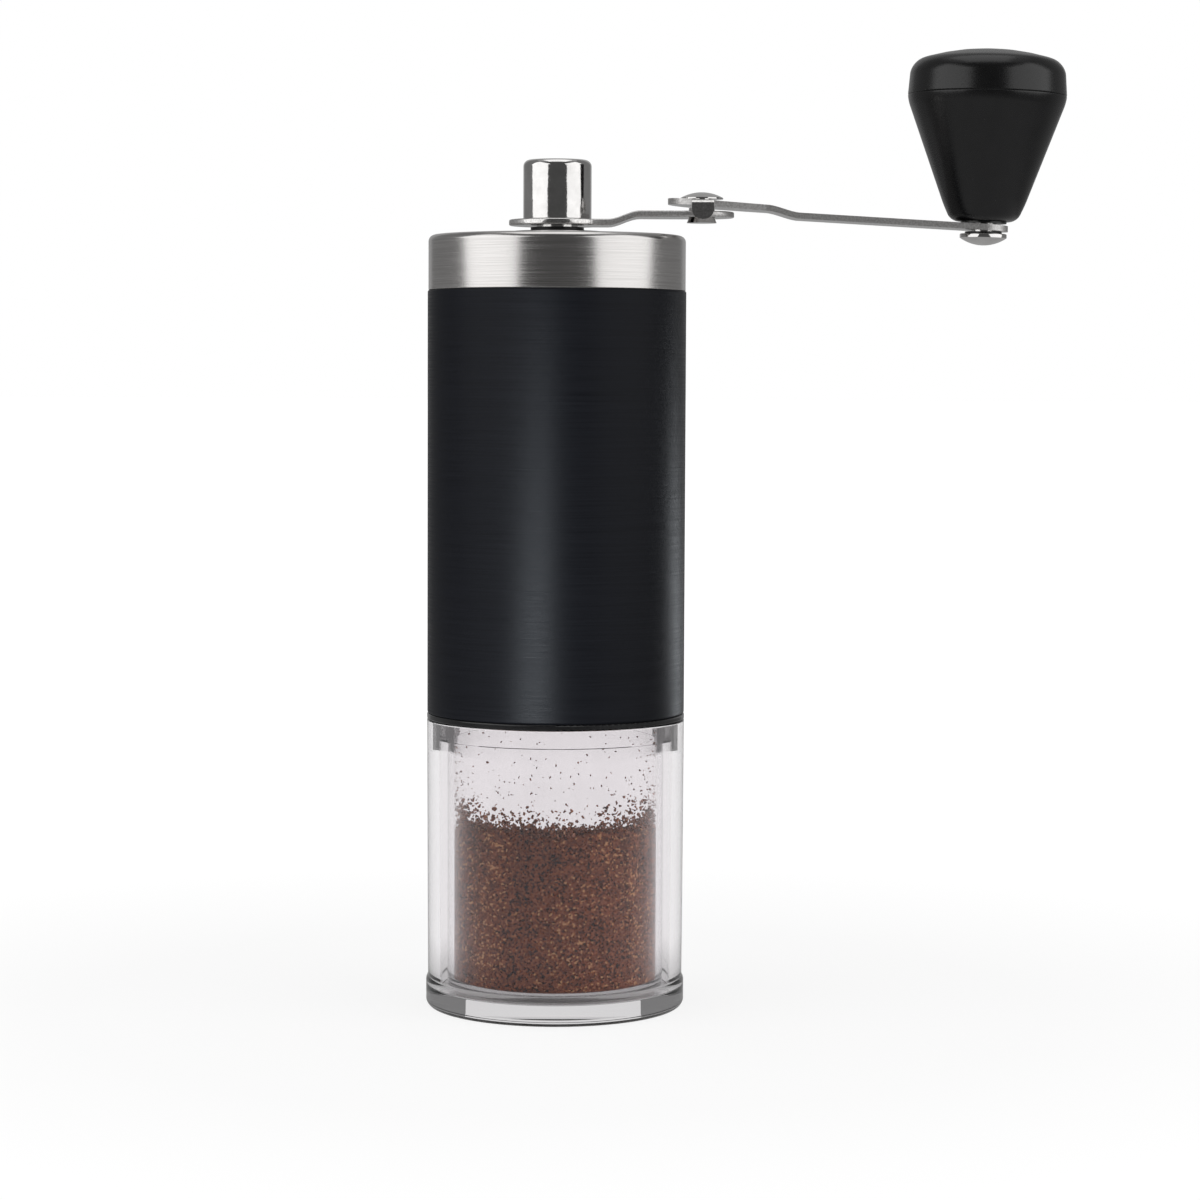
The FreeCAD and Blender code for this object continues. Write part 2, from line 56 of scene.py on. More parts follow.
joints = {joint["name"]: joint for joint in frame["record"]["behaviour"]["joints"]}
print("frame loaded:", len(nodes), "nodes")


# Materials: every pattern reads Object coordinates, so it stays on the piece

def newMaterial(name):
    material = bpy.data.materials.new(name)
    material.use_nodes = True
    tree = material.node_tree
    return material, tree, tree.nodes["Principled BSDF"]


def addNode(tree, kind, **settings):
    node = tree.nodes.new(kind)
    for key, value in settings.items():
        setattr(node, key, value)
    return node


def objectCoords(tree, scale=(1, 1, 1)):
    coords = addNode(tree, "ShaderNodeTexCoord")
    mapping = addNode(tree, "ShaderNodeMapping")
    mapping.inputs["Scale"].default_value = scale
    tree.links.new(coords.outputs["Object"], mapping.inputs["Vector"])
    return mapping.outputs["Vector"]


# Object gives the place on the piece, Normal the way its surface looks
def splitCoords(tree, output):
    coords = addNode(tree, "ShaderNodeTexCoord")
    split = addNode(tree, "ShaderNodeSeparateXYZ")
    tree.links.new(coords.outputs[output], split.inputs["Vector"])
    return split.outputs


def noise(tree, vector, scale, detail=2.0, roughness=0.5):
    node = addNode(tree, "ShaderNodeTexNoise")
    node.inputs["Scale"].default_value = scale
    node.inputs["Detail"].default_value = detail
    node.inputs["Roughness"].default_value = roughness
    tree.links.new(vector, node.inputs["Vector"])
    return node.outputs["Fac"]


def remap(tree, value, low, high, fromLow=0.3, fromHigh=0.7):
    node = addNode(tree, "ShaderNodeMapRange")
    node.inputs["From Min"].default_value = fromLow
    node.inputs["From Max"].default_value = fromHigh
    node.inputs["To Min"].default_value = low
    node.inputs["To Max"].default_value = high
    tree.links.new(value, node.inputs["Value"])
    return node.outputs["Result"]


def colourRamp(tree, value, places, colours):
    node = addNode(tree, "ShaderNodeValToRGB")
    ramp = node.color_ramp
    while len(ramp.elements) < len(places):
        ramp.elements.new(0.5)
    for element, place, colour in zip(ramp.elements, places, colours):
        element.position = place
        element.color = (*colour, 1)
    tree.links.new(value, node.inputs["Fac"])
    return node.outputs["Color"]


def addBump(tree, shader, height, strength, distance):
    node = addNode(tree, "ShaderNodeBump")
    node.inputs["Strength"].default_value = strength
    node.inputs["Distance"].default_value = distance
    tree.links.new(height, node.inputs["Height"])
    tree.links.new(node.outputs["Normal"], shader.inputs["Normal"])


# One kind of ray sees the other shader instead
def swapForRay(tree, ray, surface, other):
    paths = addNode(tree, "ShaderNodeLightPath")
    mix = addNode(tree, "ShaderNodeMixShader")
    tree.links.new(paths.outputs[ray], mix.inputs["Fac"])
    tree.links.new(surface, mix.inputs[1])
    tree.links.new(other, mix.inputs[2])
    return mix.outputs["Shader"]


# Brushing runs round the axis: it changes fast along height plus radius, slowly round the piece
def brushLines(tree, along, across):
    place = splitCoords(tree, "Object")
    flat = addNode(tree, "ShaderNodeCombineXYZ")
    tree.links.new(place["X"], flat.inputs["X"])
    tree.links.new(place["Y"], flat.inputs["Y"])
    radius = addNode(tree, "ShaderNodeVectorMath", operation="LENGTH")
    tree.links.new(flat.outputs["Vector"], radius.inputs[0])
    rise = addNode(tree, "ShaderNodeMath", operation="ADD")
    tree.links.new(place["Z"], rise.inputs[0])
    tree.links.new(radius.outputs["Value"], rise.inputs[1])
    lines = addNode(tree, "ShaderNodeMath", operation="MULTIPLY")
    lines.inputs[1].default_value = across
    tree.links.new(rise.outputs["Value"], lines.inputs[0])
    lift = addNode(tree, "ShaderNodeCombineXYZ")
    tree.links.new(lines.outputs["Value"], lift.inputs["Z"])
    stretched = addNode(tree, "ShaderNodeVectorMath", operation="SCALE")
    stretched.inputs["Scale"].default_value = along
    tree.links.new(flat.outputs["Vector"], stretched.inputs[0])
    join = addNode(tree, "ShaderNodeVectorMath", operation="ADD")
    tree.links.new(stretched.outputs["Vector"], join.inputs[0])
    tree.links.new(lift.outputs["Vector"], join.inputs[1])
    return join.outputs["Vector"]


lidSteel = {"dark": (0.50, 0.485, 0.475), "light": (0.70, 0.685, 0.675), "places": (0.25, 0.75),
            "roughness": (0.14, 0.24), "along": 60, "across": 9000, "detail": 3.0, "grit": 0.6,
            "bump": 0.08, "depth": 0.00005, "metal": 1.0, "stretch": 0.55, "gloss": 0.5}
blackTube = {"dark": (0.0035, 0.0038, 0.0052), "light": (0.0075, 0.008, 0.0105), "places": (0.25, 0.75),
             "roughness": (0.31, 0.44), "along": 45, "across": 5200, "detail": 3.0, "grit": 0.65,
             "bump": 0.45, "depth": 0.00005, "metal": 0.0, "stretch": 0.1, "gloss": 0.10}
shaftSteel = {"dark": (0.42, 0.42, 0.41), "light": (0.58, 0.58, 0.57), "places": (0.3, 0.7),
              "roughness": (0.22, 0.36), "along": 80, "across": 7000, "detail": 2.0, "grit": 0.6,
              "bump": 0.1, "depth": 0.00004, "metal": 1.0, "stretch": 0.0, "gloss": 0.5}
darkSteel = {**shaftSteel, "dark": (0.04, 0.04, 0.04), "light": (0.08, 0.08, 0.08), "roughness": (0.35, 0.5)}


def brushedMetal(name, look):
    material, tree, shader = newMaterial(name)
    lines = noise(tree, brushLines(tree, look["along"], look["across"]), scale=1.0,
                  detail=look["detail"], roughness=look["grit"])
    tree.links.new(colourRamp(tree, lines, look["places"], (look["dark"], look["light"])),
                   shader.inputs["Base Color"])
    tree.links.new(remap(tree, lines, *look["roughness"]), shader.inputs["Roughness"])
    addBump(tree, shader, lines, look["bump"], look["depth"])
    shader.inputs["Metallic"].default_value = look["metal"]
    shader.inputs["Specular IOR Level"].default_value = look["gloss"]
    shader.inputs["Anisotropic"].default_value = look["stretch"]
    if look["stretch"]:
        tangent = addNode(tree, "ShaderNodeTangent", direction_type="RADIAL", axis="Z")
        tree.links.new(tangent.outputs["Tangent"], shader.inputs["Tangent"])
    return material


polish = {"dark": (0.62, 0.61, 0.60), "light": (0.72, 0.71, 0.70), "places": (0.3, 0.7),
          "roughness": (0.05, 0.12), "waves": 420, "grit": 5200, "gritStretch": (1, 1, 0.35),
          "bump": 0.05, "depth": 0.0004}


def polishedSteel():
    material, tree, shader = newMaterial("polishedSteel")
    waves = noise(tree, objectCoords(tree), polish["waves"], detail=3.0, roughness=0.55)
    grit = noise(tree, objectCoords(tree, polish["gritStretch"]), polish["grit"], roughness=0.6)
    tree.links.new(colourRamp(tree, waves, polish["places"], (polish["dark"], polish["light"])),
                   shader.inputs["Base Color"])
    tree.links.new(remap(tree, grit, *polish["roughness"]), shader.inputs["Roughness"])
    addBump(tree, shader, waves, polish["bump"], polish["depth"])
    shader.inputs["Metallic"].default_value = 1.0
    return material


stamped = {"dark": (0.50, 0.49, 0.48), "light": (0.76, 0.75, 0.74), "places": (0.3, 0.7), "cut": 0.44,
           "flat": 0.14, "flatFrom": (0.5, 0.9), "polishedFrom": (-0.0073, -0.0069), "grain": 2600,
           "bump": 0.25, "depth": 0.00005}


# Stamped strip: polished flat faces, satin cut edges, and polished again where it stands out in front
def stampedSteel():
    material, tree, shader = newMaterial("stampedSteel")
    upright = addNode(tree, "ShaderNodeMath", operation="ABSOLUTE")
    tree.links.new(splitCoords(tree, "Normal")["Z"], upright.inputs[0])
    byFacing = remap(tree, upright.outputs["Value"], stamped["cut"], stamped["flat"], *stamped["flatFrom"])
    byPlace = remap(tree, splitCoords(tree, "Object")["Y"], stamped["flat"], stamped["cut"],
                    *stamped["polishedFrom"])
    smoother = addNode(tree, "ShaderNodeMath", operation="MINIMUM")
    tree.links.new(byFacing, smoother.inputs[0])
    tree.links.new(byPlace, smoother.inputs[1])
    tree.links.new(smoother.outputs["Value"], shader.inputs["Roughness"])
    grain = noise(tree, objectCoords(tree), stamped["grain"], roughness=0.6)
    tree.links.new(colourRamp(tree, grain, stamped["places"], (stamped["dark"], stamped["light"])),
                   shader.inputs["Base Color"])
    addBump(tree, shader, grain, stamped["bump"], stamped["depth"])
    shader.inputs["Metallic"].default_value = 1.0
    return material


mouldings = {
    "seal_rubber": {"name": "sealRubber", "dark": (0.50, 0.50, 0.49), "light": (0.62, 0.62, 0.60),
                    "roughness": (0.5, 0.65), "grain": 3000, "bump": 0.1, "gloss": 0.5},
    "black_gloss_plastic": {"name": "glossPlastic", "dark": (0.008, 0.008, 0.009),
                            "light": (0.014, 0.014, 0.015), "roughness": (0.12, 0.2), "grain": 2600,
                            "bump": 0.05, "gloss": 0.5},
    "burr_ceramic": {"name": "burrCeramic", "dark": (0.70, 0.69, 0.64), "light": (0.82, 0.81, 0.77),
                     "roughness": (0.45, 0.6), "grain": 4000, "bump": 0.2, "gloss": 0.5},
    "black_plastic": {"name": "innerPlastic", "dark": (0.012, 0.012, 0.013), "light": (0.022, 0.022, 0.023),
                      "roughness": (0.4, 0.55), "grain": 4200, "bump": 0.2, "gloss": 0.5},
    "pale_plastic": {"name": "bushPlastic", "dark": (0.62, 0.61, 0.56), "light": (0.74, 0.73, 0.68),
                     "roughness": (0.35, 0.5), "grain": 3600, "bump": 0.1, "gloss": 0.5},
    "black_satin_plastic": {"name": "satinPlastic", "dark": (0.0035, 0.0035, 0.0038),
                            "light": (0.006, 0.006, 0.0064), "roughness": (0.20, 0.30), "grain": 5200,
                            "bump": 0.25, "gloss": 0.46},
}
mouldedSkin = {"clouds": 260, "places": (0.3, 0.7), "depth": 0.00004}


def mouldedPlastic(look):
    material, tree, shader = newMaterial(look["name"])
    clouds = noise(tree, objectCoords(tree), mouldedSkin["clouds"], detail=3.0, roughness=0.6)
    fine = noise(tree, objectCoords(tree), look["grain"], roughness=0.55)
    tree.links.new(colourRamp(tree, clouds, mouldedSkin["places"], (look["dark"], look["light"])),
                   shader.inputs["Base Color"])
    tree.links.new(remap(tree, fine, *look["roughness"]), shader.inputs["Roughness"])
    addBump(tree, shader, fine, look["bump"], mouldedSkin["depth"])
    shader.inputs["Specular IOR Level"].default_value = look["gloss"]
    return material


clearWall = {"ior": 1.49, "shine": (0.35, 0.35, 0.35), "flow": 180, "flowStretch": (1, 1, 0.3),
             "places": (0.3, 0.7), "underFrom": (-0.95, -0.8),
             "outer": {"tint": (0.885, 0.87, 0.88), "pale": (0.90, 0.885, 0.895), "underside": 0.02},
             "inner": {"tint": (0.975, 0.965, 0.97), "pale": (0.99, 0.98, 0.985), "underside": 0.6}}


# Clear moulding, rougher underneath: lamps shine straight through it, so that what it holds is lit
def clearPlastic(name, wall):
    material, tree, shader = newMaterial(name)
    flow = noise(tree, objectCoords(tree, clearWall["flowStretch"]), clearWall["flow"])
    tree.links.new(colourRamp(tree, flow, clearWall["places"], (wall["tint"], wall["pale"])),
                   shader.inputs["Base Color"])
    facing = splitCoords(tree, "Normal")["Z"]
    tree.links.new(remap(tree, facing, wall["underside"], 0.0, *clearWall["underFrom"]),
                   shader.inputs["Roughness"])
    shader.inputs["Transmission Weight"].default_value = 1.0
    shader.inputs["IOR"].default_value = clearWall["ior"]
    shader.inputs["Specular Tint"].default_value = (*clearWall["shine"], 1)
    through = addNode(tree, "ShaderNodeBsdfTransparent")
    surface = swapForRay(tree, "Is Shadow Ray", shader.outputs["BSDF"], through.outputs["BSDF"])
    tree.links.new(surface, tree.nodes["Material Output"].inputs["Surface"])
    return material


groundsLook = {"cells": 2600, "patches": 110, "patchStretch": (1, 1, 0.7), "swing": 0.12, "sheen": 0.1,
               "fine": 5200, "roughness": (0.55, 0.85), "bump": 0.4, "depth": 0.0002,
               "places": (0.0, 0.3, 0.9, 1.0),
               "bed": ((0.014, 0.007, 0.006), (0.125, 0.035, 0.017), (0.28, 0.085, 0.042),
                       (0.54, 0.26, 0.115)),
               # the chips' colours run paler than the bed's: painted light on chips that the lamps reach less
               "chips": ((0.05, 0.020, 0.014), (0.22, 0.08, 0.05), (0.40, 0.16, 0.10),
                         (0.60, 0.34, 0.20))}


# Ground coffee: each grain, about 0.4 mm across, has its own roast colour
def groundCoffee(name, roasts):
    material, tree, shader = newMaterial(name)
    cells = addNode(tree, "ShaderNodeTexVoronoi", feature="F1")
    cells.inputs["Scale"].default_value = groundsLook["cells"]
    tree.links.new(objectCoords(tree), cells.inputs["Vector"])
    split = addNode(tree, "ShaderNodeSeparateColor")
    tree.links.new(cells.outputs["Color"], split.inputs["Color"])
    patches = noise(tree, objectCoords(tree, groundsLook["patchStretch"]), groundsLook["patches"])
    roast = addNode(tree, "ShaderNodeMath", operation="ADD")
    tree.links.new(split.outputs["Red"], roast.inputs[0])
    tree.links.new(remap(tree, patches, -groundsLook["swing"], groundsLook["swing"]), roast.inputs[1])
    tree.links.new(colourRamp(tree, roast.outputs["Value"], groundsLook["places"], roasts),
                   shader.inputs["Base Color"])
    fine = noise(tree, objectCoords(tree), groundsLook["fine"], detail=3.0, roughness=0.6)
    tree.links.new(remap(tree, fine, *groundsLook["roughness"]), shader.inputs["Roughness"])
    shader.inputs["Specular IOR Level"].default_value = groundsLook["sheen"]
    addBump(tree, shader, cells.outputs["Distance"], groundsLook["bump"], groundsLook["depth"])
    return material


# One finish for each of the record's slots, and the looks of pieces that differ from their slot
finishes = {slot: mouldedPlastic(look) for slot, look in mouldings.items()}
finishes["black_brushed_metal"] = brushedMetal("blackBrushedMetal", blackTube)
finishes["brushed_lid_steel"] = brushedMetal("brushedLidSteel", lidSteel)
finishes["shaft_steel"] = brushedMetal("shaftSteel", shaftSteel)
finishes["dark_steel"] = brushedMetal("darkSteel", darkSteel)
finishes["polished_steel"] = polishedSteel()
finishes["clear_plastic"] = clearPlastic("clearPlastic", clearWall["outer"])
innerClear = clearPlastic("innerClear", clearWall["inner"])
armSteel = stampedSteel()
bedCoffee = groundCoffee("bedCoffee", groundsLook["bed"])
# The chips get a paler copy of the bed's coffee: painted light where the lamps reach them less
chipCoffee = groundCoffee("chipCoffee", groundsLook["chips"])
for subpart in frame["record"]["subparts"]:
    mesh = nodes[subpart["node"]].data
    mesh.materials.clear()
    mesh.materials.append(finishes[subpart["material_slot"]])
print("finishes:", len(finishes))


# Modelling helpers: a piece starts from a primitive and is shaped in edit mode

mergeGap = 0.000002                 # points nearer than this become one
ringGap = 0.00002                   # how far off a ring a point may lie and still be picked with it
smoothAngle = math.radians(50)      # sharper edges stay sharp, and the strips' are rounded
roundSteps = {"thin": 3, "seam": 4, "plain": 5, "shoulder": 6, "soft": 8, "cap": 12}


def startPoint(name, x, y, z):
    bpy.ops.object.select_all(action="DESELECT")
    bpy.ops.mesh.primitive_plane_add(size=0.001)
    piece = bpy.context.object
    piece.name = name
    piece.data.name = name
    bpy.ops.object.mode_set(mode="EDIT")
    bpy.ops.mesh.select_mode(type="VERT")
    bpy.ops.mesh.select_all(action="SELECT")
    bpy.ops.mesh.merge(type="CENTER")
    bpy.ops.transform.translate(value=(x, y, z))
    return piece


def drawTo(x, y, z):
    bpy.ops.mesh.extrude_region_move(TRANSFORM_OT_translate={"value": (x, y, z)})


def pick(kind, test):
    bpy.ops.mesh.select_mode(type={"verts": "VERT", "edges": "EDGE", "faces": "FACE"}[kind])
    bpy.ops.mesh.select_all(action="DESELECT")
    mesh = bmesh.from_edit_mesh(bpy.context.object.data)
    for item in getattr(mesh, kind):
        if test(item):
            item.select_set(True)
    bmesh.update_edit_mesh(bpy.context.object.data)


def closeMesh():
    bpy.ops.mesh.select_all(action="SELECT")
    bpy.ops.mesh.remove_doubles(threshold=mergeGap)
    bpy.ops.mesh.normals_make_consistent(inside=False)


# A turned piece: its outline, as radius and height, is drawn and spun round the upright axis
def turnPiece(name, outline, steps=160):
    piece = startPoint(name, outline[0][0], 0, outline[0][1])
    for (radius, height), (nextRadius, nextHeight) in zip(outline, outline[1:]):
        drawTo(nextRadius - radius, 0, nextHeight - height)
    bpy.ops.mesh.select_all(action="SELECT")
    bpy.ops.mesh.spin(steps=steps, angle=2 * math.pi, center=(0, 0, 0), axis=(0, 0, 1))
    closeMesh()
    return piece


def roundRing(radius, height, size, roundness="plain"):
    def onRing(vert):
        return abs(math.hypot(vert.co.x, vert.co.y) - radius) < ringGap and abs(vert.co.z - height) < ringGap
    pick("edges", lambda edge: onRing(edge.verts[0]) and onRing(edge.verts[1]))
    bpy.ops.mesh.bevel(offset=size, segments=roundSteps[roundness], affect="EDGES")


# Outline of a round head from its rim to its middle, rising or, with a negative rise, hanging
def domePoints(radius, base, rise, count=12):
    sphere = (radius * radius + rise * rise) / (2 * abs(rise))
    half = math.asin(radius / sphere)
    side = math.copysign(1, rise)
    angles = [half * step / count for step in range(count, -1, -1)]
    return [(sphere * math.sin(angle), base + rise - side * sphere * (1 - math.cos(angle)))
            for angle in angles]


def useModifier(piece, kind, **settings):
    bpy.ops.object.modifier_add(type=kind)
    modifier = piece.modifiers[-1]
    for key, value in settings.items():
        setattr(modifier, key, value)
    bpy.ops.object.modifier_apply(modifier=modifier.name)


def joinTool(piece, tool, operation):
    bpy.ops.object.select_all(action="DESELECT")
    piece.select_set(True)
    bpy.context.view_layer.objects.active = piece
    useModifier(piece, "BOOLEAN", object=tool, operation=operation, solver="EXACT")
    bpy.data.objects.remove(tool)


def finishPiece(piece, body, slotName, node, look=None):
    if piece.mode == "EDIT":
        bpy.ops.object.mode_set(mode="OBJECT")
    bpy.ops.object.shade_smooth_by_angle(angle=smoothAngle)
    useModifier(piece, "WEIGHTED_NORMAL", keep_sharp=True)
    piece.data.materials.append(look or finishes[slotName])
    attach(piece, body)
    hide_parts(node)
    print("piece:", piece.name, len(piece.data.polygons), "faces")


def boxOf(node):
    low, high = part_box(node)
    return Vector(low), Vector(high)


# Cup: a clear shell with a thick foot, and a clear inner cup with a flange and a neck
shellShape = {"topRadius": 0.02605, "lowRadius": 0.0258, "wall": 0.0024, "footHeight": 0.0064,
              "shoulder": 0.0007, "floor": 0.0040, "footRounding": 0.0016, "lipRounding": 0.0003,
              "shoulderRounding": 0.0004}


def outerCup():
    shape = shellShape
    high = boxOf("outer_cup")[1]
    foot = high.x
    shoulderLow = shape["footHeight"] - shape["shoulder"]
    hollow = shape["lowRadius"] - shape["wall"]
    piece = turnPiece("outerCup", [
        (0, 0), (foot, 0), (foot, shoulderLow), (shape["lowRadius"], shape["footHeight"]),
        (shape["topRadius"], high.z), (shape["topRadius"] - shape["wall"], high.z),
        (hollow, shape["floor"]), (0, shape["floor"])])
    roundRing(foot, 0, shape["footRounding"], "soft")
    roundRing(foot, shoulderLow, shape["shoulderRounding"])
    roundRing(hollow, shape["floor"], shape["shoulderRounding"])
    roundRing(shape["topRadius"], high.z, shape["lipRounding"])
    finishPiece(piece, "cup", "clear_plastic", "outer_cup")


innerShape = {"radius": 0.0219, "bore": 0.0207, "floor": 0.0052, "flangeLow": 0.0548, "flangeTop": 0.0586,
              "neckRadius": 0.0229, "rounding": 0.0016, "edge": 0.0003, "grooveLow": 0.0615,
              "grooveHigh": 0.0631, "grooveDepth": 0.0006}


def innerCup():
    shape = innerShape
    low, high = boxOf("inner_cup")
    flange = high.x
    radius, neck, bore = shape["radius"], shape["neckRadius"], shape["bore"]
    groove = neck - shape["grooveDepth"]
    piece = turnPiece("innerCup", [
        (0, low.z), (radius, low.z), (radius, shape["flangeLow"]), (flange, shape["flangeLow"]),
        (flange, shape["flangeTop"]), (neck, shape["flangeTop"]), (neck, shape["grooveLow"]),
        (groove, shape["grooveLow"]), (groove, shape["grooveHigh"]), (neck, shape["grooveHigh"]),
        (neck, high.z), (bore, high.z), (bore, shape["floor"]), (0, shape["floor"])])
    roundRing(radius, low.z, shape["rounding"], "soft")
    roundRing(bore, shape["floor"], shape["rounding"], "soft")
    roundRing(bore, high.z, shape["edge"])
    finishPiece(piece, "cup", "clear_plastic", "inner_cup", look=innerClear)


# Ground coffee in the inner cup: a ragged bed that slopes to the back, loose chips and specks on the wall
bedShape = {"radius": 0.0205, "low": 0.00535, "rounding": 0.0016, "top": 0.0352, "slope": math.radians(8.6),
            "rings": 24, "jitter": 0.0006, "seed": 7,
            "waves": ((0.0013, 2, 1.57), (0.0005, 5, 0.0))}     # height, count round the rim, shift


def bedWave(angle):
    return sum(size * math.sin(count * angle + shift) for size, count, shift in bedShape["waves"])


def groundsBed():
    shape = bedShape
    radius, low, top, rings = shape["radius"], shape["low"], shape["top"], shape["rings"]
    surface = [(radius * (1 - ring / rings), top) for ring in range(rings + 1)]
    piece = turnPiece("groundsBed", [(0, low), (radius, low)] + surface)
    roundRing(radius, low, shape["rounding"], "soft")
    pick("verts", lambda vert: vert.co.z > top - shape["jitter"])
    bpy.ops.transform.rotate(value=shape["slope"], orient_axis="X", center_override=(0, 0, top))
    bpy.ops.transform.vertex_random(offset=shape["jitter"], uniform=1.0, normal=0.0, seed=shape["seed"])
    for vert in bmesh.from_edit_mesh(piece.data).verts:
        reach = math.hypot(vert.co.x, vert.co.y)
        if vert.select:
            vert.co.z += bedWave(math.atan2(vert.co.y, vert.co.x)) * (reach / radius) ** 2
        if reach > radius:          # the jitter stays inside the wall
            vert.co.x *= radius / reach
            vert.co.y *= radius / reach
    bpy.ops.object.mode_set(mode="OBJECT")
    bpy.ops.object.shade_smooth()
    piece.data.materials.append(bedCoffee)
    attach(piece, "cup")
    print("piece:", piece.name, len(piece.data.polygons), "faces")


chipShape = {"kinds": 5, "size": 0.0005, "bumps": 0.00013, "seed": 20, "width": 0.75, "narrower": 0.08,
             "height": 0.6, "taller": 0.07, "turn": 6.28, "widthSpread": (0.7, 1.2),
             "heightSpread": (0.6, 1.1)}


# A few broken chip shapes, each from a small ico sphere
def chipKinds():
    shape = chipShape
    kinds = []
    for index in range(shape["kinds"]):
        bpy.ops.object.select_all(action="DESELECT")
        bpy.ops.mesh.primitive_ico_sphere_add(subdivisions=1, radius=shape["size"] / 2)
        chip = bpy.context.object
        bpy.ops.object.mode_set(mode="EDIT")
        bpy.ops.transform.resize(value=(1.0, shape["width"] - shape["narrower"] * index,
                                        shape["height"] + shape["taller"] * index))
        bpy.ops.transform.vertex_random(offset=shape["bumps"], uniform=1.0, normal=0.0,
                                        seed=shape["seed"] + index)
        bpy.ops.object.mode_set(mode="OBJECT")
        chip.data.materials.append(chipCoffee)
        kinds.append(chip)
    return kinds


# places: (radius, angle, height, size); the copies are joined into one piece
def scatterChips(name, kinds, places, draw):
    copies = []
    for radius, angle, height, size in places:
        source = draw.choice(kinds)
        copy = source.copy()
        copy.data = source.data.copy()
        copy.location = (radius * math.cos(angle), radius * math.sin(angle), height)
        copy.rotation_euler = [draw.uniform(0, chipShape["turn"]) for axis in "XYZ"]
        copy.scale = (size, size * draw.uniform(*chipShape["widthSpread"]),
                      size * draw.uniform(*chipShape["heightSpread"]))
        bpy.context.scene.collection.objects.link(copy)
        copies.append(copy)
    bpy.ops.object.select_all(action="DESELECT")
    for copy in copies:
        copy.select_set(True)
    bpy.context.view_layer.objects.active = copies[0]
    bpy.ops.object.join()
    piece = bpy.context.object
    bpy.ops.object.transform_apply(location=True, rotation=True, scale=True)
    piece.name = name
    piece.data.name = name
    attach(piece, "cup")
    print("piece:", piece.name, len(copies), "chips,", len(piece.data.polygons), "faces")


chipBed = {"count": 1500, "seed": 5, "reach": 0.02015, "spread": 0.0026, "size": (0.7, 1.7),
           "edgeShare": 0.72, "edgeBand": (0.93, 1.0), "middleClimb": 0.6}
wallSpecks = {"count": 280, "reach": 0.0204, "low": 0.0405, "high": 0.0575, "size": (0.4, 1.0),
              "thinning": 1.9}


def looseGrounds():
    draw = random.Random(chipBed["seed"])
    kinds = chipKinds()
    bed = []
    for index in range(chipBed["count"]):
        nearWall = draw.random() < chipBed["edgeShare"]
        share = draw.uniform(*chipBed["edgeBand"]) if nearWall else math.sqrt(draw.random())
        angle = draw.uniform(0, 2 * math.pi)
        climb = abs(draw.gauss(0, 1)) if nearWall else chipBed["middleClimb"] * draw.random()
        radius = chipBed["reach"] * share
        surface = bedShape["top"] - radius * math.sin(angle) * math.tan(bedShape["slope"])
        height = surface + bedWave(angle) * share ** 2 + chipBed["spread"] * climb
        bed.append((radius, angle, height, draw.uniform(*chipBed["size"])))
    scatterChips("groundsChips", kinds, bed, draw)
    specks = []
    for index in range(wallSpecks["count"]):
        rise = draw.random() ** wallSpecks["thinning"]
        height = wallSpecks["low"] + (wallSpecks["high"] - wallSpecks["low"]) * rise
        angle = draw.uniform(0, 2 * math.pi)
        specks.append((wallSpecks["reach"], angle, height, draw.uniform(*wallSpecks["size"])))
    scatterChips("groundsSpecks", kinds, specks, draw)
    for kind in kinds:
        bpy.data.objects.remove(kind)


# Housing tube
tubeShape = {"wall": 0.0012, "edge": 0.0004}


def bodyTube():
    low, high = boxOf("body_tube")
    radius = high.x
    bore = radius - tubeShape["wall"]
    piece = turnPiece("bodyTube", [
        (bore, low.z), (radius, low.z), (radius, high.z), (bore, high.z), (bore, low.z)])
    roundRing(radius, low.z, tubeShape["edge"])
    roundRing(radius, high.z, tubeShape["edge"])
    finishPiece(piece, "housing", "black_brushed_metal", "body_tube")
    return piece


# Lid: a drawn steel cap with a raised disc round the bush
lidShape = {"edge": 0.0013, "sheet": 0.0008, "discRadius": 0.00975, "discHeight": 0.0008, "discEdge": 0.0003,
            "bore": 0.00537, "rimEdge": 0.00015}


def lidShell():
    shape = lidShape
    low, high = boxOf("lid_shell")
    radius, disc, bore, sheet = high.x, shape["discRadius"], shape["bore"], shape["sheet"]
    lidTop = high.z - shape["discHeight"]
    piece = turnPiece("lidShell", [
        (bore, high.z), (disc, high.z), (disc, lidTop), (radius, lidTop), (radius, low.z),
        (radius - sheet, low.z), (radius - sheet, lidTop - sheet), (disc - sheet, lidTop - sheet),
        (disc - sheet, high.z - sheet), (bore, high.z - sheet), (bore, high.z)])
    roundRing(radius, lidTop, shape["edge"], "soft")
    roundRing(disc, high.z, shape["discEdge"])
    roundRing(disc, lidTop, shape["discEdge"])
    roundRing(radius, low.z, shape["rimEdge"], "thin")
    finishPiece(piece, "lid", "brushed_lid_steel", "lid_shell")


# Crank: a capped hub with its stem, and the flat arm that it is riveted to
armShape = {"thickness": 0.0012, "edge": 0.0003, "plateRadius": 0.0097, "halfWidth": 0.0065, "foldX": 0.029,
            "bendStart": 0.0102, "bendEnd": 0.0166, "bendRise": 0.0017, "bendLines": 10, "endSteps": 40,
            "plateSteps": 64, "columnDigits": 6}
hubShape = {"stemRadius": 0.0042, "edge": 0.0013, "footEdge": 0.00025, "socketFlats": 0.0052,
            "socketTop": 0.1634, "clipLow": 0.1471, "clipHigh": 0.1479, "clipDepth": 0.0006, "steps": 120}


